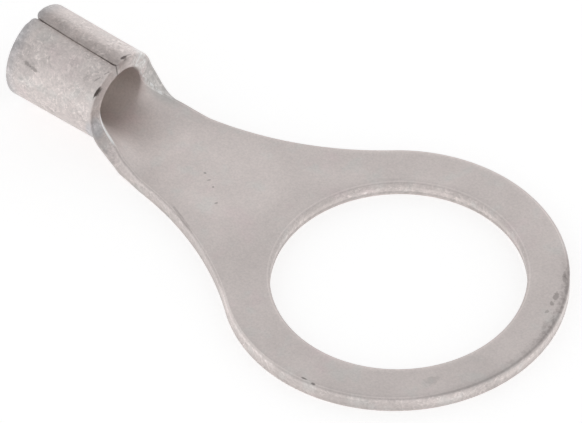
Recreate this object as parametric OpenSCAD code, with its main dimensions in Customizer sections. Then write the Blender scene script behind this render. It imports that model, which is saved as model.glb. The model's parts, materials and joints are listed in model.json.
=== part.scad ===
// Ring terminal: one piece of plated sheet. The blank has a ring with a stud hole, a flared
// neck and a wide tail. The tail is rolled up into the wire barrel, whose edges butt in a
// seam on top, and between barrel and neck the sheet opens out from a trough to a flat.
//
// Millimetres. The origin is the stud hole's centre on the underside, +Z is up through the
// hole and +X runs towards the tip of the ring, so the barrel points to -X.

/* [Sheet] */
// Thickness of the sheet
sheet_t = 0.92; // [0.7:0.02:1.2]
// Size of the small bevel that blanking and plating leave along the cut edges
edge_bevel = 0.08; // [0.03:0.01:0.15]

/* [Ring] */
// Outer diameter of the ring
ring_d = 18; // [16:0.5:22]
// Diameter of the stud hole
hole_d = 13.3; // [8:0.1:14]
// How far the stud hole sits forward of the ring's own centre
hole_shift = 0.2; // [0:0.05:0.4]

/* [Neck] */
// Distance from the stud hole's centre back to the barrel's front rim
reach = 18.5; // [16.5:0.5:26]
// Width of the tongue at its waist, the narrowest place
waist_w = 5.5; // [4:0.05:7]
// Distance from the barrel's front rim forward to the waist
waist_gap = 0.8; // [0.2:0.1:2]

/* [Barrel] */
// Inside diameter of the wire barrel
bore_d = 3.35; // [2.6:0.05:4.4]
// Length of the wire barrel
barrel_l = 5.75; // [4:0.05:9]
// Width of the gap left where the rolled edges butt
seam_gap = 0.04; // [0.02:0.01:0.2]
// Radius of the two rounded lips along the seam
lip_r = 0.5; // [0.2:0.05:0.6]

/* [Forming] */
// Length over which the sheet opens out from the barrel's curve to a flat
form_l = 3.6; // [3:0.1:6]
// Radius of the notch corner between the barrel's front rim and the neck
notch_r = 1.2; // [0.6:0.1:1.8]
// How fast the curve dies away over that length: 1 is even, more is sooner
form_ease = 1.4; // [1.2:0.1:3]
// How much forming thins the sheet on each face
form_thinning = 0.01; // [0.005:0.005:0.03]

/* [Hidden] */
tin = [0.75, 0.71, 0.70];
facets = 96;

// Ring and barrel, in the plan
ring_r = ring_d / 2;
hole_r = hole_d / 2;
ring_x = -hole_shift;
rim_x = -reach;
flat_x = rim_x + form_l;

// Neck fillet: an arc tangent to the waist on one side and to the ring on the other
waist_r = waist_w / 2;
waist_x = rim_x + waist_gap;
waist_run = ring_x - waist_x;
neck_r = (waist_run ^ 2 + waist_r ^ 2 - ring_r ^ 2) / (ring_d - waist_w);
neck_y = waist_r + neck_r;
// How far the neck arcs cut into the ring, so that the two cross instead of only touching
arc_bite = 0.01;
// How far a cutter runs on past the barrel's skin
clear = 1;

// Barrel section
lip_facets = 48;
bore_r = bore_d / 2;
barrel_r = bore_r + sheet_t;
roll_r = bore_r + sheet_t / 2;
mid_z = sheet_t / 2;

// Formed sheet: where it overlaps its neighbours, and how finely it is divided
overlap = 0.3;
form_t = sheet_t - 2 * form_thinning;
form_inset = arc_bite + form_thinning;
least_bend = 0.0001;
notch_steps = 10;
form_steps = 18;
cross_steps = 24;

// Half the sheet's width at x, measured along the sheet
function neck_half(x) =
    waist_r + neck_r - sqrt(neck_r ^ 2 - max(0, x - waist_x) ^ 2);
function notch_half(x) =
    notch_r - sqrt(notch_r ^ 2 - max(0, rim_x + notch_r - max(x, rim_x)) ^ 2);
function sheet_half(x) = neck_half(x) + notch_half(x);

// Share of the forming length that is left at x, from 1 at the rim to 0 at the flat
function form_left(x) = min(1, max(0, (flat_x - x) / form_l));
// Radius that the sheet's middle is rolled to at x. It grows towards the flat, up to a radius
// so large that the sheet counts as flat
function bend_r(x) = roll_r / max(form_left(x) ^ form_ease, least_bend);
// Place of the point at x that lies u along the sheet from its middle and h below it
function formed(x, u, h) =
    let (r = bend_r(x), a = u / r * 180 / PI)
    [x, sin(a) * (r + h), mid_z + r * (1 - cos(a)) - h * cos(a)];

// Section of the formed sheet at x, as a closed loop with bevelled corners
function form_section(x) =
    let (w = sheet_half(x) - form_inset, b = edge_bevel, h = form_t / 2)
    let (across = [for (i = [0 : cross_steps]) (2 * i / cross_steps - 1) * (w - b)])
    concat(
        [for (u = across) formed(x, u, h)],
        [formed(x, w, h - b), formed(x, w, b - h)],
        [for (i = [cross_steps : -1 : 0]) formed(x, across[i], -h)],
        [formed(x, -w, b - h), formed(x, -w, h - b)]
    );

// Stations along the formed sheet. They crowd at the rim, where the notch corner is steep
form_stations = concat(
    [rim_x - overlap],
    [for (i = [1 : notch_steps]) rim_x + notch_r * (1 - cos(90 * i / notch_steps))],
    [for (i = [1 : form_steps]) rim_x + notch_r + (form_l - notch_r) * i / form_steps],
    [flat_x + overlap]
);

// Round blank as thick as the sheet, with bevelled rims
module bevelled_disc(r) {
    b = edge_bevel;
    rotate_extrude($fn = facets)
        polygon([
            [0, 0], [r - b, 0], [r, b],
            [r, sheet_t - b], [r - b, sheet_t], [0, sheet_t]
        ]);
}

// Cutter through the sheet that leaves bevels on the edge it cuts
module edge_cutter(r) {
    b = edge_bevel;
    rotate_extrude($fn = facets)
        polygon([
            [0, -b], [r + 2 * b, -b], [r, b],
            [r, sheet_t - b], [r + 2 * b, sheet_t + b], [0, sheet_t + b]
        ]);
}

// Flat sheet from the end of the forming to the ring, before its neck arcs are cut
module neck_blank() {
    spread = neck_y * (ring_x - flat_x) / waist_run;
    linear_extrude(sheet_t)
        polygon([[ring_x, 0], [flat_x, spread], [flat_x, -spread]]);
}

module tongue() {
    difference() {
        union() {
            translate([ring_x, 0, 0]) bevelled_disc(ring_r);
            difference() {
                neck_blank();
                for (side = [-1, 1])
                    translate([waist_x, side * neck_y, 0]) edge_cutter(neck_r + arc_bite);
            }
        }
        edge_cutter(hole_r);
    }
}

// Facing points of the two skins in a section's loop, as one quad of its end face
function end_quad(i) = [i, i + 1, 2 * cross_steps + 2 - i, 2 * cross_steps + 3 - i];
function flipped(face) = [for (i = [len(face) - 1 : -1 : 0]) face[i]];
function shifted(face, by) = [for (i = face) i + by];

// The sheet between barrel and tongue, lofted through its sections
module formed_sheet() {
    sections = [for (x = form_stations) form_section(x)];
    n = len(sections[0]);
    last = len(sections) - 1;
    corners = [cross_steps, cross_steps + 1, cross_steps + 2, cross_steps + 3];
    far_corners = [2 * cross_steps + 3, 2 * cross_steps + 4, 2 * cross_steps + 5, 0];
    end_faces = concat([for (i = [0 : cross_steps - 1]) end_quad(i)], [corners, far_corners]);
    polyhedron(
        points = [for (s = sections) each s],
        faces = concat(
            end_faces,
            [for (k = [0 : last - 1]) for (i = [0 : n - 1])
                [k * n + i, (k + 1) * n + i, (k + 1) * n + (i + 1) % n, k * n + (i + 1) % n]],
            [for (face = end_faces) flipped(shifted(face, last * n))]
        )
    );
}

// Section of the rolled barrel, with the seam's gap and the groove between its lips
module barrel_section() {
    difference() {
        circle(r = barrel_r, $fn = facets);
        circle(r = bore_r, $fn = facets);
        translate([-seam_gap / 2, 0]) square([seam_gap, barrel_r + clear]);
        difference() {
            translate([-lip_r - seam_gap / 2, barrel_r - lip_r])
                square([2 * lip_r + seam_gap, lip_r + clear]);
            for (side = [-1, 1])
                translate([side * (lip_r + seam_gap / 2), barrel_r - lip_r])
                    circle(r = lip_r, $fn = lip_facets);
        }
    }
}

module barrel() {
    translate([rim_x - barrel_l, 0, barrel_r])
        rotate([90, 0, 90]) linear_extrude(barrel_l) barrel_section();
}

module terminal() {
    color(tin) {
        tongue();
        formed_sheet();
        barrel();
    }
}

terminal();
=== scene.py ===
import json
import math

import bpy
from mathutils import Matrix, Vector


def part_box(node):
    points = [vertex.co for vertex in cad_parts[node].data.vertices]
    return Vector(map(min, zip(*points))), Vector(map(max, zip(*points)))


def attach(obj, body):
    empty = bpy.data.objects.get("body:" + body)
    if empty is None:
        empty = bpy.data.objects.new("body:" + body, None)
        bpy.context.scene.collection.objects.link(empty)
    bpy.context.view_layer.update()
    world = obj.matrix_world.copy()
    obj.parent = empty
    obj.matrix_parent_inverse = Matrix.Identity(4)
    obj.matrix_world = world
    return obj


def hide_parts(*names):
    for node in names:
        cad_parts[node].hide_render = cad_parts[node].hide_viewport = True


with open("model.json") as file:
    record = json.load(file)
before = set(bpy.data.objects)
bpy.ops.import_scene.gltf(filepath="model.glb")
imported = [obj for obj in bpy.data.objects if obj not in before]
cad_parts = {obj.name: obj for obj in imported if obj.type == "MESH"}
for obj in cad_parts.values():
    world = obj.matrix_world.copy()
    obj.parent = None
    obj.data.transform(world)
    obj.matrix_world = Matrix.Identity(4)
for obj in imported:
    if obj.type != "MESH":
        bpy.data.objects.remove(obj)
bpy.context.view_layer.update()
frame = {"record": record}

# ---------------------------------------------------------------- sizes, in metres
MM = 0.001
MOUNTS = {m["name"]: m for m in frame["record"]["mounts"]}
STUD, WIRE = MOUNTS["stud_hole"], MOUNTS["wire_barrel"]
LOW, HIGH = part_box("terminal")

HOLE_R = STUD["dims"]["r_mm"] * MM
BORE_R = WIRE["dims"]["r_mm"] * MM
BARREL_R = WIRE["pos_m"][2]
SHEET_T = BARREL_R - BORE_R
ROLL_R = BORE_R + SHEET_T / 2
REAR_X = WIRE["pos_m"][0]
RIM_X = REAR_X + WIRE["dims"]["length_mm"] * MM
RING_R = (HIGH.y - LOW.y) / 2
RING_X = HIGH.x - RING_R

# Neck and forming, as in the part's source
WAIST_R = 2.75 * MM
WAIST_X = RIM_X + 0.8 * MM
NOTCH_R = 1.2 * MM
FORM_L = 3.6 * MM
FORM_EASE = 1.4
SEAM_GAP = 0.04 * MM
# Least share of the barrel's curve that counts, so that the flat's radius stays finite
LEAST_BEND = 1e-5

SEAM_U = math.pi * ROLL_R - SEAM_GAP / 2
WAIST_RUN = RING_X - WAIST_X
NECK_R = (WAIST_RUN**2 + WAIST_R**2 - RING_R**2) / (2 * (RING_R - WAIST_R))
NECK_Y = WAIST_R + NECK_R
FLAT_X = RIM_X + FORM_L

# How far the barrel was rolled askew at its two ends
SKEW_FRONT, SKEW_REAR = 0.25 * MM, 0.08 * MM
# How far its edges sprang up at the rear, on the +Y side and on the -Y side
SPRING_PLUS, SPRING_MINUS = 0.09 * MM, 0.063 * MM
# Rounding of the corners at the seam's rear end: how deep, and how long
NIB, NIB_L = 0.24 * MM, 0.4 * MM
# Kink in the near edge: how far it sticks out, where it is, and half its length
KINK, KINK_X, KINK_HALF = 0.08 * MM, RIM_X + 2.2 * MM, 0.6 * MM

# Rounding of the cut edges, and how far their upper corner is drawn down on the tongue
EDGE_R = 0.11 * MM
ROLL_OVER = 0.03 * MM
# Rolled-in band along the seam: its width on the +Y side and on the -Y side, how far it drops
# up to the lip, and how far the lip drops from there
BAND_PLUS, BAND_MINUS = 0.45 * MM, 0.27 * MM
BAND_DROP, LIP_DROP = 0.09 * MM, 0.08 * MM
# Step of the band's profile at which the lip begins, and the share of the width it takes up
LIP_AT, LIP_LEFT = 0.7, 0.125

# ---------------------------------------------------------------- the sheet's grid
# The cross line where the fan of cells round the hole hands over to the neck's grid
CROSS_X = -9.0 * MM
# Depths below a cut edge at which the cells' lines run along it
DEPTHS = [d * MM for d in (0, 0.15, 0.25, 0.35, 0.46, 0.6, 0.75, 0.9)]
# Depth of the first line of cells where they aren't laid out by those depths
MARGIN = 0.17 * MM
INNER_COLUMNS = 28
CORNER_STEPS = 8
RING_BANDS = 9
OUTLINE_STEP, NECK_STEP, BARREL_STEP, FLANK_STEP = 0.11 * MM, 0.15 * MM, 0.13 * MM, 0.12 * MM
# Steps round each rounding of a cut edge, and down the wall between the two
ARC_STEPS, WALL_STEPS = 6, 5


def neck_half(x):
    """Half the sheet's width on the neck's fillet arc."""
    run = max(0.0, x - WAIST_X)
    return WAIST_R + NECK_R - math.sqrt(NECK_R**2 - run**2)


def notch_half(x):
    """What the notch corner beside the barrel's front rim adds to it."""
    left = max(0.0, RIM_X + NOTCH_R - max(x, RIM_X))
    return NOTCH_R - math.sqrt(max(0.0, NOTCH_R**2 - left**2))


def sheet_half(x):
    return neck_half(x) + notch_half(x)


def smooth(value, start, end):
    """0 before the start, 1 after the end, eased between."""
    share = min(1.0, max(0.0, (value - start) / (end - start)))
    return share * share * (3 - 2 * share)


def rolling_faults(x, u, h):
    """The blank's point moved as the real barrel differs from a true cylinder."""
    rear = (RIM_X - x) / (RIM_X - REAR_X)
    if rear <= 0:
        return x, u, h
    side = math.copysign(1.0, u)
    reach = smooth(abs(u), 0.55 * SEAM_U, SEAM_U)
    # The corners at the rear of the seam are rounded off
    nib = max(0.0, abs(u) - SEAM_U + NIB_L) / NIB_L
    x += NIB * nib**2.5 * smooth(rear, 0.8, 1.0)
    # The seam is pressed shut in its middle and opens a little at both ends
    u += side * reach * SEAM_GAP * (0.44 - 0.7 * (2 * rear - 1)**2)
    # It runs askew, and its edges sprang up towards the rear, the +Y one more
    u += reach * (SKEW_FRONT + (SKEW_REAR - SKEW_FRONT) * rear)
    spring, start = (SPRING_PLUS, 0.1) if side > 0 else (SPRING_MINUS, 0.4)
    h += spring * smooth(abs(u), 0.45 * SEAM_U, 0.85 * SEAM_U) * smooth(rear, start, 1.0)
    return x, u, h


def kinked(x, u):
    """The near edge is pinched out a little where the forming die let go of it."""
    away = abs(x - KINK_X) / KINK_HALF
    if u < 0 and away < 1:
        u -= KINK * (1 - away) * smooth(-u, 0.7 * WAIST_R, WAIST_R)
    return u


def formed(x, u, h):
    """Place of the blank's point at x, u along the sheet from its middle and h below its middle."""
    left = min(1.0, max(0.0, (FLAT_X - x) / FORM_L))
    x, u, h = rolling_faults(x, u, h)
    u = kinked(x, u)
    r = ROLL_R / max(left**FORM_EASE, LEAST_BEND)
    a = u / r
    return Vector((x, math.sin(a) * (r + h), SHEET_T / 2 + r * (1 - math.cos(a)) - h * math.cos(a)))


def outline_points():
    """The tongue's outline from the cross line round the ring and back, evenly stepped."""
    meet = math.atan2(NECK_Y, RING_X - WAIST_X)
    points = []
    fillet_from = math.asin((CROSS_X - WAIST_X) / NECK_R)
    fillet_to = math.pi / 2 - meet
    n = round(NECK_R * (fillet_to - fillet_from) / OUTLINE_STEP)
    for i in range(n):
        a = fillet_from + (fillet_to - fillet_from) * i / n
        points.append((WAIST_X + NECK_R * math.sin(a), NECK_Y - NECK_R * math.cos(a)))
    n = 2 * round(RING_R * (math.pi - meet) / OUTLINE_STEP)
    for i in range(n + 1):
        a = (math.pi - meet) * (1 - 2 * i / n)
        points.append((RING_X + RING_R * math.cos(a), RING_R * math.sin(a)))
    mirrored = [(x, -y) for x, y in points[:-n - 1]]
    return points + mirrored[::-1]


def even(start, end, step):
    """Even steps from start to end, both included, of about the given length."""
    n = max(1, round(abs(end - start) / step))
    return [start + (end - start) * i / n for i in range(n + 1)]


def columns(half):
    """Positions across the neck at a place where its half width is half."""
    inner = half - DEPTHS[-1]
    middle = [inner * (2 * j / INNER_COLUMNS - 1) for j in range(1, INNER_COLUMNS)]
    return [d - half for d in DEPTHS] + middle + [half - d for d in DEPTHS[::-1]]


class Grid:
    """Points (x, u) of the flat blank and the four-cornered cells between them."""

    def __init__(self):
        self.points, self.cells, self.at = [], [], {}

    def point(self, x, u):
        key = (round(x * 1e8), round(u * 1e8))
        if key not in self.at:
            self.at[key] = len(self.points)
            self.points.append((x, u))
        return self.at[key]

    def patch(self, rows):
        rows = [[self.point(*p) for p in row] for row in rows]
        for a, b in zip(rows, rows[1:]):
            self.cells.extend((a[j], a[j + 1], b[j + 1], b[j]) for j in range(len(a) - 1))


def ring_rows():
    """Rows of cells from the hole's edge out to the ring's outline and the cross line."""
    cross = [(CROSS_X, u) for u in columns(neck_half(CROSS_X))]
    rim = outline_points() + cross[1:-1]
    spokes = []
    for x, y in rim + rim[:1]:
        reach = math.hypot(x, y)
        run = reach - HOLE_R
        middle = [MARGIN + (run - 2 * MARGIN) * k / RING_BANDS for k in range(RING_BANDS + 1)]
        spoke = [(x / reach * (HOLE_R + s), y / reach * (HOLE_R + s)) for s in (0.0, *middle)]
        spokes.append(spoke + [(x, y)])
    return spokes


def corner_rows(side, corner_x, corner_u):
    """Rows of cells round the notch corner on one side."""
    outer = [(x, corner_u[0]) for x in corner_x] + [(corner_x[-1], u) for u in corner_u[1:]]
    spokes = []
    for i, (ox, ou) in enumerate(outer):
        turn = math.pi / 2 * i / (2 * CORNER_STEPS)
        x = corner_x[0] - NOTCH_R * math.sin(turn)
        u = neck_half(x) + NOTCH_R * (1 - math.cos(turn))
        shares = [d / DEPTHS[-1] for d in DEPTHS]
        spokes.append([(x + (ox - x) * s, side * (u + (ou - u) * s)) for s in shares])
    return spokes


def blank_grid():
    """The blank laid flat: ring, neck, notch corners, and the tail that is rolled up."""
    grid = Grid()
    grid.patch(ring_rows())

    notch_x, deep_x = RIM_X + NOTCH_R, RIM_X - DEPTHS[-1]
    grid.patch([[(x, u) for u in columns(neck_half(x))] for x in even(CROSS_X, notch_x, NECK_STEP)])
    w_in = neck_half(notch_x) - DEPTHS[-1]
    w_out = sheet_half(RIM_X)
    corner_x = [notch_x + (deep_x - notch_x) * i / CORNER_STEPS for i in range(CORNER_STEPS + 1)]
    corner_u = [w_in + (w_out - w_in) * i / CORNER_STEPS for i in range(CORNER_STEPS + 1)]
    back_x = even(deep_x, REAR_X + MARGIN, BARREL_STEP) + [REAR_X]
    middle = columns(neck_half(notch_x))[len(DEPTHS) - 1:1 - len(DEPTHS)]
    grid.patch([[(x, u) for u in middle] for x in corner_x + back_x[1:]])
    flank_u = even(w_out, SEAM_U - 1.3 * BAND_PLUS, FLANK_STEP) + [SEAM_U]
    for side in (-1, 1):
        grid.patch(corner_rows(side, corner_x, corner_u))
        grid.patch([[(RIM_X - d, side * u) for u in flank_u] for d in DEPTHS])
        grid.patch([[(x, side * u) for u in corner_u + flank_u[1:]] for x in back_x])
    return grid.points, turned_left(grid.points, grid.cells)


def turned_left(points, cells):
    """The same cells, each with its corners in left-turning order."""
    out = []
    for cell in cells:
        area = 0.0
        for i in range(4):
            (ax, ay), (bx, by) = points[cell[i]], points[cell[(i + 1) % 4]]
            area += ax * by - bx * ay
        out.append(cell if area > 0 else cell[::-1])
    return out


def boundary_loops(cells):
    """Loops of the edges that only one cell has, each turning left about the sheet."""
    pairs = {(cell[i], cell[(i + 1) % 4]): True for cell in cells for i in range(4)}
    follow = {a: b for a, b in pairs if (b, a) not in pairs}
    loops = []
    while follow:
        loop, at = [], next(iter(follow))
        while at in follow:
            loop.append(at)
            at = follow.pop(at)
        loops.append(loop)
    return loops


# ---------------------------------------------------------------- the formed sheet
def inward(points, loop, i):
    """Inward unit normals of the two edges that meet at a point of a loop that turns left."""
    a, b, c = (Vector(points[loop[(i + k) % len(loop)]]) for k in (-1, 0, 1))
    return [Vector((-(q - p).y, (q - p).x)).normalized() for p, q in ((a, b), (b, c))]


def edge_kinds(points, loops):
    """For each edge point its two inward normals, whether each is the seam's, and whether the
    edge runs on smoothly there."""
    kinds = {}
    for loop in loops:
        for i, p in enumerate(loop):
            normals = inward(points, loop, i)
            at_seam = abs(abs(points[p][1]) - SEAM_U) < 1e-7
            seam = [at_seam and abs(n.y) > 0.9 for n in normals]
            kinds[p] = (normals, seam, normals[0].dot(normals[1]) > 0.8)
    return kinds


def fall(t):
    """Profile of the band beside the seam, from its crease at 0 to the seam at 1: inset and drop."""
    if t < LIP_AT:
        return 1 - (1 - LIP_LEFT) * t / LIP_AT, BAND_DROP * t / LIP_AT
    a = (t - LIP_AT) / (1 - LIP_AT) * math.pi / 2
    return LIP_LEFT * (1 - math.sin(a)), BAND_DROP + LIP_DROP * (1 - math.cos(a))


def edge_point(x, u, kind, side, turn):
    """Point of an edge's rounding: side is 1 on the outer skin, turn runs from skin to wall."""
    normals, seam, runs_on = kind
    round_in, round_down = 1 - math.sin(turn * math.pi / 2), 1 - math.cos(turn * math.pi / 2)
    band = BAND_PLUS if u > 0 else BAND_MINUS
    insets = [fall(turn)[0] * band if s and side > 0 else round_in * EDGE_R for s in seam]
    drop = round_down * EDGE_R
    if side < 0 and x > RIM_X:
        drop += ROLL_OVER * (1 - 0.6 * turn)
    if any(seam) and side > 0:
        drop = max(drop, fall(turn)[1])
    if runs_on:
        shift = (normals[0] + normals[1]).normalized() * insets[0]
    else:
        shift = normals[0] * insets[0] + normals[1] * insets[1]
    return x + shift.x, u + shift.y, side * (SHEET_T / 2 - drop)


def sheet_shell():
    """Both skins of the flat sheet joined round its cut edges, as points (x, u, h) and faces."""
    points, cells = blank_grid()
    loops = boundary_loops(cells)
    kinds = edge_kinds(points, loops)
    shell, faces = [], []

    def add(place):
        shell.append(place)
        return len(shell) - 1

    def moved(p, side, turn):
        return edge_point(*points[p], kinds[p], side, turn)

    skins = []
    for side in (1, -1):
        index = {}
        for p, (x, u) in enumerate(points):
            index[p] = add(moved(p, side, 0.0) if p in kinds else (x, u, side * SHEET_T / 2))
        skins.append(index)
        for cell in cells:
            face = [index[p] for p in cell]
            faces.append(face[::-1] if side > 0 else face)
    for loop in loops:
        rails = [[skins[0][p] for p in loop]]
        rails += [[add(moved(p, 1, k / ARC_STEPS)) for p in loop] for k in range(1, ARC_STEPS + 1)]
        low = [shell[v] for v in rails[-1]]
        high = [moved(p, -1, 1.0) for p in loop]
        for k in range(1, WALL_STEPS):
            share = k / WALL_STEPS
            between = [tuple(c + (d - c) * share for c, d in zip(a, b)) for a, b in zip(low, high)]
            rails.append([add(place) for place in between])
        rails += [[add(moved(p, -1, k / ARC_STEPS)) for p in loop] for k in range(ARC_STEPS, 0, -1)]
        rails.append([skins[1][p] for p in loop])
        n = len(loop)
        for a, b in zip(rails, rails[1:]):
            faces += [[a[i], a[(i + 1) % n], b[(i + 1) % n], b[i]] for i in range(n)]
    return shell, faces


def depth(x, u, h):
    """0 on the tongue's top skin, 1 on the underside, which is the barrel's outside."""
    return 0.5 + h / SHEET_T


def rolled(x, u, h):
    """1 on the outside of the barrel."""
    return smooth(-x, -RIM_X - 0.6 * MM, -RIM_X + 0.6 * MM) * smooth(h, -SHEET_T / 2, 0.0)


def bore(x, u, h):
    """1 deep inside the barrel, where shade is painted."""
    return smooth(-x, -RIM_X - 1.0 * MM, -RIM_X + 2.4 * MM) * smooth(-h, 0.0, SHEET_T / 2)


def beside_seam(x, u, h):
    """1 in the darker band along the seam, partly dirt and partly painted shade of the crease; it is wider
    on the +Y side.
    """
    if h < 0 or x > RIM_X:
        return 0.0
    width, fade = (0.85 * MM, 0.45 * MM) if u > 0 else (0.42 * MM, 0.36 * MM)
    return min(1.0, max(0.0, (width - (SEAM_U - abs(u))) / fade))


def terminal_mesh():
    """The formed sheet, with the attributes that its material reads."""
    shell, faces = sheet_shell()
    made = bpy.data.meshes.new("terminal_sheet")
    made.from_pydata([formed(*place) for place in shell], [], faces)
    made.polygons.foreach_set("use_smooth", [True] * len(faces))
    for region in (bore, depth, rolled, beside_seam):
        values = made.attributes.new(region.__name__, "FLOAT", "POINT")
        values.data.foreach_set("value", [region(*place) for place in shell])
    made.update()
    return made


# ---------------------------------------------------------------- materials
WHITE = (1, 1, 1, 1)
FACE_TIN = (0.80, 0.735, 0.715, 1)
WALL_TIN = (0.775, 0.712, 0.69, 1)
GREY_TIN = (0.785, 0.745, 0.725, 1)
PINK_TIN = (0.81, 0.725, 0.715, 1)
# Painted highlight on the rim beside the seam
HIGHLIGHT_TINT = (0.93, 0.94, 0.93, 1)
# Dirt and painted shade in the seam's crease
SEAM_DIRT_AND_SHADE = (0.45, 0.39, 0.37, 1)
# Painted shade deep inside the barrel
BORE_SHADE = (0.44, 0.39, 0.33, 1)
# Painted bluish shade on the rim's near side
BLUE_SHADE = (0.60, 0.635, 0.68, 1)
REAR_CAST = (0.56, 0.56, 0.58, 1)
FLANGE_GREY = (0.60, 0.60, 0.585, 1)
NICK_DARK = (0.07, 0.055, 0.05, 1)
SCUFF_DARK = (0.33, 0.315, 0.315, 1)
REAR_DARK = (0.2, 0.2, 0.21, 1)
# How far a mark reaches above and below the skin it is on
MARK_REACH = 0.4 * MM

ALONG_X, UP = Vector((1, 0, 0)), Vector((0, 0, 1))


class Tree:
    """Short hands for wiring a material's or the world's nodes."""

    def __init__(self, owner):
        owner.use_nodes = True
        self.tree = owner.node_tree
        self.nodes = self.tree.nodes

    def wire(self, value, socket):
        if isinstance(value, bpy.types.NodeSocket):
            self.tree.links.new(value, socket)
        else:
            socket.default_value = value

    def node(self, kind, inputs=(), **settings):
        made = self.nodes.new("ShaderNode" + kind)
        for name, value in settings.items():
            setattr(made, name, value)
        for name, value in dict(inputs).items():
            self.wire(value, made.inputs[name])
        return made

    def calc(self, operation, a, b=0.0, c=0.0):
        made = self.node("Math", operation=operation)
        for socket, value in zip(made.inputs, (a, b, c)):
            self.wire(value, socket)
        return made.outputs[0]

    def times(self, first, *others):
        for other in others:
            first = self.calc("MULTIPLY", first, other)
        return first

    def around(self, value, strength, base):
        """The base, moved up and down by a value whose middle is a half."""
        return self.calc("MULTIPLY_ADD", self.calc("SUBTRACT", value, 0.5), strength, base)

    def span(self, value, low, high, to_low=0.0, to_high=1.0):
        """Smooth step of a value from one span to another, held at the ends."""
        made = self.node("MapRange", {"Value": value, "From Min": low, "From Max": high,
                                      "To Min": to_low, "To Max": to_high},
                         interpolation_type="SMOOTHSTEP")
        return made.outputs["Result"]

    def noise(self, vector, size, detail=2.0, roughness=0.55, distortion=0.0):
        """Noise between 0 and 1 with lumps of about the given size in metres."""
        made = self.node("TexNoise", {"Vector": vector, "Scale": 1 / size, "Detail": detail,
                                      "Roughness": roughness, "Distortion": distortion})
        return made.outputs["Fac"]

    def blend(self, factor, a, b, kind="MIX"):
        made = self.node("Mix", data_type="RGBA", blend_type=kind)
        self.wire(factor, made.inputs["Factor"])
        self.wire(a, made.inputs["A"])
        self.wire(b, made.inputs["B"])
        return made.outputs["Result"]

    def attribute(self, region):
        return self.node("Attribute", attribute_name=region.__name__).outputs["Fac"]

    def vector(self, operation, a, b=(0, 0, 0)):
        made = self.node("VectorMath", {0: a, 1: b}, operation=operation)
        return made.outputs["Value" if operation == "LENGTH" else "Vector"]

    def ramp(self, value, stops):
        """Grey levels at the given positions, joined smoothly."""
        made = self.node("ValToRGB", {"Fac": value})
        ramp = made.color_ramp
        ramp.interpolation = "EASE"
        while len(ramp.elements) < len(stops):
            ramp.elements.new(0.5)
        for element, (position, level) in zip(ramp.elements, stops):
            element.position = position
            element.color = (level, level, level, 1)
        return made.outputs["Color"]


def on_barrel(behind, degrees):
    """Place on the barrel's outer skin and the skin's normal there."""
    x, angle = RIM_X - behind, math.radians(degrees)
    normal = Vector((0, math.sin(angle), -math.cos(angle)))
    return formed(x, angle * ROLL_R, SHEET_T / 2), normal


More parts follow.
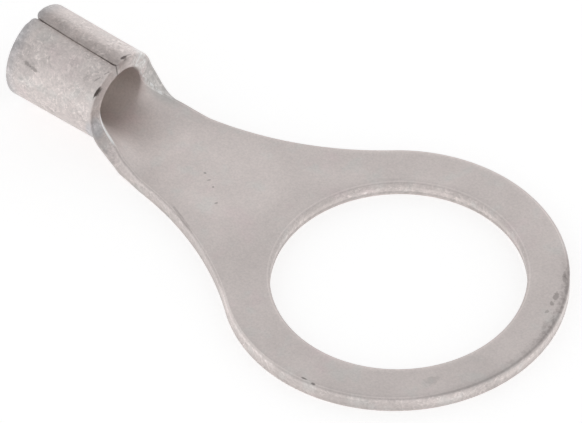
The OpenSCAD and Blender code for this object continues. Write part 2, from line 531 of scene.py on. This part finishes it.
class TinPlate(Tree):
    """Matte tin plating: pale, slightly warm, finely grained, and mottled where it was rolled.

    The base colour is a tone times a shade, with painted glints on top; tone and shade also carry
    painted highlights and shade on the cut edges, in the bore, by the seam and on the rim. The places and
    sizes of marks are in millimetres."""

    def __init__(self, material):
        super().__init__(material)
        self.place = self.node("TexCoord").outputs["Object"]
        self.axes = self.node("SeparateXYZ", {"Vector": self.place}).outputs
        self.rolled, self.depth = self.attribute(rolled), self.attribute(depth)
        self.wall = self.times(self.span(self.depth, 0.02, 0.1), self.span(self.depth, 0.98, 0.9))
        self.cloud = self.noise(self.place, 2.4 * MM, 3, 0.6)
        self.mottle = self.noise(self.place, 0.42 * MM, 3, 0.6, 1.2)
        self.grain = self.noise(self.place, 0.12 * MM, 2, 0.6)
        self.fleck = self.noise(self.place, 0.2 * MM, 2, 0.7)
        shade = self.mottling()
        shade = self.node("CombineColor", {"Red": shade, "Green": shade, "Blue": shade}).outputs[0]
        # The cut edges' painted highlights and shade multiply into it here
        self.shade = self.blend(1.0, shade, self.painted_edge_shading(), "MULTIPLY")

    def near(self, centre, size):
        """1 within an ellipsoid of the given half sizes in millimetres, fading to 0 outside it."""
        mapped = self.node("Mapping", {"Vector": self.place, "Location": centre,
                                       "Scale": Vector(size) * MM}, vector_type="TEXTURE")
        return self.span(self.vector("LENGTH", mapped.outputs[0]), 1.2, 0.7)

    def from_axis(self, x):
        """Distance from the upright line at x on the long axis."""
        flat = self.vector("MULTIPLY", self.place, (1, 1, 0))
        return self.vector("LENGTH", self.vector("SUBTRACT", flat, (x, 0, 0)))

    def mottling(self):
        """Fine grain all over, and stronger streaks on the barrel's outside and the cut edges."""
        drift = self.noise(self.place, 5 * MM, 2, 0.5)
        calm = self.around(self.mottle, 0.1, self.around(self.cloud, 0.17, self.around(drift, 0.1, 1.0)))
        calm = self.around(self.grain, 0.26, calm)
        # Ridges of a noise, cut short by the flecks, read as short pale streaks
        ridge = self.noise(self.place, 0.7 * MM, 3, 0.6, 1.1)
        ridge = self.calc("ABSOLUTE", self.calc("SUBTRACT", ridge, 0.5))
        ridge = self.times(self.span(ridge, 0.055, 0.0), self.span(self.fleck, 0.4, 0.6))
        patchy = self.span(self.noise(self.place, 1.1 * MM), 0.38, 0.62, 0.55, 1.35)
        wild = self.around(self.grain, 0.1, self.around(self.mottle, 0.5, -0.01))
        wild = self.times(self.calc("MULTIPLY_ADD", ridge, 0.2, wild), patchy)
        where = self.calc("MAXIMUM", self.rolled, self.times(self.wall, 0.95))
        return self.calc("MULTIPLY_ADD", where, wild, calm)

    def painted_edge_shading(self):
        """Painted light on a cut edge: a painted highlight along its upper corner, lighter and darker
        bands down the sheared wall, and painted shade at its foot. It looks different along the neck,
        round the ring's two sides and in the hole."""
        # Each ramp runs down the edge from the top skin: levels above 1 near the top are painted
        # highlight, the low levels near the foot painted shade
        neck_edge_shading = self.ramp(self.depth, [
            (0, 1), (0.012, 1.17), (0.05, 0.94), (0.1, 0.9), (0.2, 0.96), (0.32, 0.89), (0.62, 0.88),
            (0.78, 0.80), (1, 1)])
        tip_edge_shading = self.ramp(self.depth, [
            (0, 1), (0.04, 0.8), (0.1, 0.88), (0.2, 0.97), (0.36, 1.03), (0.5, 1.05), (0.64, 0.95),
            (0.8, 0.86), (1, 1)])
        bright = self.ramp(self.depth, [
            (0, 1), (0.02, 1.22), (0.1, 1.17), (0.2, 1.04), (0.36, 0.98), (0.55, 0.95), (0.7, 0.89),
            (0.82, 0.85), (1, 1)])
        sheared = self.ramp(self.depth, [
            (0, 1), (0.015, 1.13), (0.06, 0.86), (0.13, 0.78), (0.3, 0.8), (0.46, 0.92), (0.6, 0.95),
            (0.74, 0.76), (1, 1)])
        edges = self.blend(self.span(self.axes["X"], 5.6 * MM, 7.2 * MM), neck_edge_shading, tip_edge_shading)
        # The brightest painted highlight is on the edges round the ring's -Y side
        left = self.near(Vector((-4.2, -7.9, 0.4)) * MM, (3.6, 2.4, 2))
        edges = self.blend(left, edges, bright)
        in_hole = self.span(self.from_axis(0), HOLE_R + 0.5 * MM, HOLE_R + 0.3 * MM)
        return self.blend(in_hole, edges, sheared)

    def mark(self, centre, along, normal, size, dark, rag=0.5):
        """A dark ellipse on the surface, with a limit as ragged as the flecks make it."""
        along = (along - normal * along.dot(normal)).normalized()
        turn = Matrix((along, normal.cross(along), normal)).transposed().to_euler()
        mapped = self.node("Mapping", {"Vector": self.place, "Location": centre, "Rotation": turn,
                                       "Scale": (size[0] * MM / 2, size[1] * MM / 2, MARK_REACH)},
                           vector_type="TEXTURE").outputs[0]
        away = self.around(self.fleck, 2 * rag, self.vector("LENGTH", mapped))
        hit = self.span(away, 1.1, 0.55)
        self.shade = self.blend(self.times(hit, dark), self.shade, NICK_DARK)

    def barrel_mark(self, behind, degrees, turn, size, dark, rag):
        """A mark behind the front rim, at degrees from the barrel's underside."""
        centre, normal = on_barrel(behind * MM, degrees)
        turn = math.radians(turn)
        along = ALONG_X * math.cos(turn) + normal.cross(ALONG_X) * math.sin(turn)
        self.mark(centre, along, normal, size, dark, rag)

    def face_mark(self, x, y, turn, size, dark, rag=0.5):
        """A mark on the tongue's top."""
        turn = math.radians(turn)
        along = Vector((math.cos(turn), math.sin(turn), 0))
        self.mark(Vector((x * MM, y * MM, SHEET_T)), along, UP, size, dark, rag)

    def barrel_marks(self):
        # The seam shows on the front rim too
        angle = math.pi + SKEW_FRONT / ROLL_R
        radial = Vector((0, math.sin(angle), -math.cos(angle)))
        self.mark(Vector((RIM_X, 0, BARREL_R)) + radial * ROLL_R, radial, ALONG_X, (1.1, 0.1), 0.6, 0.2)
        # Nicks that the forming tool left behind the front rim, on both sides of the seam
        self.barrel_mark(0.04, -136, 83, (0.8, 0.14), 0.9, 0.45)
        self.barrel_mark(0.06, 165, 82, (0.5, 0.13), 0.75, 0.5)
        self.barrel_mark(0.04, 157, 86, (0.6, 0.06), 0.4, 0.5)
        self.barrel_mark(0.10, -165, 65, (0.45, 0.06), 0.35, 0.5)
        self.barrel_mark(0.35, -152, 60, (0.5, 0.09), 0.3, 0.6)
        self.barrel_mark(0.9, -148, 70, (0.7, 0.35), 0.13, 1.2)
        # Smudge near the barrel's rear end
        self.barrel_mark(4.48, -123.3, -5, (0.5, 0.22), 0.36, 1.3)
        self.barrel_mark(4.02, -121.7, -5, (0.6, 0.2), 0.3, 1.3)
        self.barrel_mark(4.3, -123, 0, (1.3, 0.5), 0.1, 1.0)

    def tongue_marks(self):
        # Specks on the tongue
        self.face_mark(-12.55, -0.41, 20, (0.16, 0.1), 0.45)
        self.face_mark(-12.06, -0.68, 50, (0.26, 0.1), 0.35)
        self.face_mark(-11.57, -0.95, 30, (0.16, 0.12), 0.45)
        self.face_mark(-10.71, -1.76, 60, (0.2, 0.12), 0.35)
        self.scuffed_edge()
        # Scuffs along the inner side of that band, towards the tip on the +Y side
        self.face_mark(6.9, 5.1, -52, (0.8, 0.25), 0.3, 1.0)
        self.face_mark(7.4, 3.7, -64, (0.7, 0.3), 0.36, 1.1)
        self.face_mark(7.5, 3.2, -40, (0.45, 0.22), 0.34, 1.1)
        self.face_mark(7.65, 2.6, -70, (0.4, 0.2), 0.24, 1.1)
        self.face_mark(8.2, 1.7, -75, (0.7, 0.3), 0.16, 1.2)
        # Stain, and two specks on the ring's near edge
        self.face_mark(6.0, -4.9, 60, (1.1, 0.6), 0.12, 1.0)
        self.face_mark(0.75, -8.75, 5, (0.4, 0.12), 0.6)
        self.face_mark(1.35, -8.75, 5, (0.35, 0.14), 0.6)
        # Darker line along the neck's near edge
        self.face_mark(-11.4, -3.72, -24, (2.6, 0.2), 0.2)

    def scuffed_edge(self):
        """Worn grey band along the ring's outer edge at the tip."""
        wander = self.around(self.fleck, 0.8 * MM, self.from_axis(RING_X))
        band = self.times(
            self.span(wander, RING_R - 0.55 * MM, RING_R - 0.1 * MM),
            self.span(self.axes["X"], 5.4 * MM, 7.0 * MM),
            self.span(self.axes["Y"], -2.5 * MM, 2.5 * MM, 0.25, 1.0),
            self.span(self.axes["Y"], -6.0 * MM, -3.0 * MM),
            self.span(self.depth, 0.3, 0.1),
            self.span(self.mottle, 0.35, 0.65, 0.2, 0.55))
        self.shade = self.blend(band, self.shade, SCUFF_DARK)

    def level(self, centre, size, share):
        """Make the colour brighter or darker by a share round a place."""
        changed = self.blend(1.0, self.shade, (share, share, share, 1), "MULTIPLY")
        self.shade = self.blend(self.near(Vector(centre) * MM, size), self.shade, changed)

    def levels(self):
        """Broad places where the colour is made brighter or darker."""
        self.level((5, -6, 0.9), (7, 5, 1), 0.955)
        self.level((8, -1, 0.9), (3, 4, 1), 0.95)
        self.level((-12, 0, 0.9), (4, 3, 1), 1.07)
        self.level((-16.4, 0, 0.9), (2, 2.5, 1), 1.06)
        self.level((-20.5, -2.6, 2.2), (4, 1.5, 1.2), 0.93)
        self.level((-17.2, -2.6, 1.4), (1.4, 0.8, 1.4), 0.94)
        # A dark patch near the barrel's rear end
        where = self.near(on_barrel(5.1 * MM, -122)[0], (1.2, 1.0, 1.0))
        self.shade = self.blend(self.times(where, 0.17), self.shade, REAR_DARK)

    def painted_glints(self):
        """Painted highlight: a bright line on the near flange's inner corner, where it catches the light,
        and ragged painted glints on the far one.
        """
        line = self.ramp(self.depth, [(0, 0), (0.03, 1), (0.09, 1), (0.14, 0), (1, 0)])
        x = RIM_X + 0.55 * MM
        lit = self.near(formed(x, -sheet_half(x), -SHEET_T / 2), (1.1, 0.6, 0.9))
        x = RIM_X + 0.3 * MM
        far = self.near(formed(x, sheet_half(x), -SHEET_T / 2), (1.6, 0.9, 1.6))
        ragged = self.times(self.span(self.mottle, 0.4, 0.6), 0.8)
        lit = self.calc("MAXIMUM", lit, self.times(far, ragged))
        return self.times(lit, line)

    def tone(self):
        """Colour of the tin, with its greyer and pinker places, painted shade in the bore, by the seam
        with dirt, and on the rim's near side, and a painted highlight on the rim beside the seam.
        """
        place = self.place
        tone = self.blend(self.wall, FACE_TIN, WALL_TIN)
        tone = self.blend(self.span(self.noise(place, 1.3 * MM), 0.54, 0.72), tone, GREY_TIN)
        tone = self.blend(self.span(self.noise(place, 2.0 * MM), 0.55, 0.75), tone, PINK_TIN)
        # Darker band along the seam: dirt, and painted shade of the crease
        seam_darkening = self.span(self.noise(place, 0.8 * MM), 0.3, 0.65, 0.62, 0.42)
        tone = self.blend(self.times(self.attribute(beside_seam), seam_darkening), tone, SEAM_DIRT_AND_SHADE)
        # Painted shade deep inside the barrel
        tone = self.blend(self.times(self.attribute(bore), 0.34), tone, BORE_SHADE)
        # Painted bluish shade where the near side of the rim turns into the flange
        blue = self.near(Vector((RIM_X + 0.1 * MM, -2.35 * MM, 1.9 * MM)), (0.5, 0.5, 1.0))
        tone = self.blend(self.times(blue, 0.45), tone, BLUE_SHADE)
        # A greyer tone along the barrel's rear rim
        rear = self.span(self.axes["X"], REAR_X + 0.9 * MM, REAR_X + 0.1 * MM)
        rear = self.times(rear, self.span(self.cloud, 0.3, 0.7, 0.3, 0.8), self.span(self.depth, 0.6, 0.9))
        tone = self.blend(rear, tone, REAR_CAST)
        # Painted highlight: a whitish patch on the rim beside the seam
        pale = self.near(Vector((RIM_X, 1.55 * MM, 3.95 * MM)), (0.7, 0.7, 0.8))
        pale = self.times(pale, self.span(self.mottle, 0.35, 0.62, 0.1, 0.75))
        tone = self.blend(pale, tone, HIGHLIGHT_TINT)
        # A greyer tone on the far flange
        grey = self.near(Vector((RIM_X + 0.6 * MM, 2.4 * MM, 2.2 * MM)), (1.6, 0.7, 1.6))
        return self.blend(self.times(grey, 0.6), tone, FLANGE_GREY)

    def finish(self):
        """Wire the shader."""
        shader = self.nodes["Principled BSDF"]
        colour = self.blend(1.0, self.tone(), self.shade, "MULTIPLY")
        # Painted glints lighten the colour towards white
        self.wire(self.blend(self.painted_glints(), colour, WHITE), shader.inputs["Base Color"])
        height = self.calc("MULTIPLY_ADD", self.rolled, self.times(self.mottle, 2.2), self.grain)
        bump = self.node("Bump", {"Strength": 0.4, "Distance": 0.012 * MM, "Height": height})
        self.wire(bump.outputs["Normal"], shader.inputs["Normal"])
        self.wire(self.around(self.mottle, 0.2, 0.55), shader.inputs["Roughness"])
        shader.inputs["Metallic"].default_value = 0.85


def tin_plate():
    material = bpy.data.materials.new("tin_plate")
    tin = TinPlate(material)
    tin.barrel_marks()
    tin.tongue_marks()
    tin.levels()
    tin.finish()
    return material


# ---------------------------------------------------------------- studio
# The camera's angles in degrees, the point it looks at, its distance, and its lens in millimetres
AZIMUTH, ELEVATION, ROLL = 39.86, 45.56, -1.5
AIM, DISTANCE = Vector((-7.82, 0.84, 0.0)) * MM, 494.9 * MM
LENS, SENSOR = 587.6, 36
# Strength of the dome near the horizon and overhead
HORIZON, ZENITH = 0.97, 0.55
FLOOR_HALF, FLOOR_GAP = 1.5, 0.01 * MM
# The floor's own grey, and the glow that lifts it to white where it is seen
FLOOR_GREY, FLOOR_GLOW = 0.62, 0.6


def add_object(name, data):
    made = bpy.data.objects.new(name, data)
    bpy.context.scene.collection.objects.link(made)
    return made


def add_camera():
    """The camera, at the angle that the photo was taken from."""
    azimuth, elevation, roll = (math.radians(a) for a in (AZIMUTH, ELEVATION, ROLL))
    level = Vector((math.cos(azimuth), math.sin(azimuth), 0))
    back = Vector((math.sin(azimuth), -math.cos(azimuth), 0)) * math.cos(elevation)
    back.z = math.sin(elevation)
    upright = back.cross(level)
    right = level * math.cos(roll) + upright * math.sin(roll)
    camera = add_object("camera", bpy.data.cameras.new("camera"))
    camera.data.lens = LENS
    camera.data.sensor_width = SENSOR
    camera.data.clip_start, camera.data.clip_end = 0.01, 10
    camera.location = AIM + back * DISTANCE
    camera.rotation_mode = "QUATERNION"
    camera.rotation_quaternion = Matrix((right, back.cross(right), back)).transposed().to_quaternion()
    bpy.context.scene.camera = camera


def add_dome():
    """A soft dome, dim overhead and bright towards the horizon."""
    world = bpy.data.worlds.new("studio")
    bpy.context.scene.world = world
    t = Tree(world)
    direction = t.node("TexCoord").outputs["Generated"]
    height = t.node("SeparateXYZ", {"Vector": direction}).outputs["Z"]
    background = t.nodes["Background"]
    t.wire(t.span(height, 0.05, 0.92, HORIZON, ZENITH), background.inputs["Strength"])
    background.inputs["Color"].default_value = WHITE


def floor_material():
    """Pale matt floor that the camera and the metal see as white, with the object's shadow."""
    material = bpy.data.materials.new("floor")
    t = Tree(material)
    shader = t.nodes["Principled BSDF"]
    shader.inputs["Base Color"].default_value = (FLOOR_GREY, FLOOR_GREY, FLOOR_GREY, 1)
    shader.inputs["Roughness"].default_value = 1.0
    shader.inputs["Specular IOR Level"].default_value = 0.0
    rays = t.node("LightPath").outputs
    seen = t.calc("MAXIMUM", rays["Is Camera Ray"], rays["Is Glossy Ray"])
    seen = t.calc("MAXIMUM", seen, rays["Is Transmission Ray"])
    shader.inputs["Emission Color"].default_value = WHITE
    t.wire(t.times(seen, FLOOR_GLOW), shader.inputs["Emission Strength"])
    return material


def add_floor():
    """A wide floor just under the terminal."""
    side = FLOOR_HALF
    corners = [(-side, -side, 0), (side, -side, 0), (side, side, 0), (-side, side, 0)]
    sheet = bpy.data.meshes.new("floor")
    sheet.from_pydata(corners, [], [(0, 1, 2, 3)])
    sheet.materials.append(floor_material())
    floor = add_object("floor", sheet)
    floor.location.z = LOW.z - FLOOR_GAP


bpy.context.scene.view_settings.view_transform = "Standard"
add_camera()
add_dome()
add_floor()

mesh = terminal_mesh()
mesh.materials.append(tin_plate())
body = add_object("terminal_body", mesh)
body.modifiers.new("flat_faces", "WEIGHTED_NORMAL").keep_sharp = True
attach(body, "root")
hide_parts("terminal")
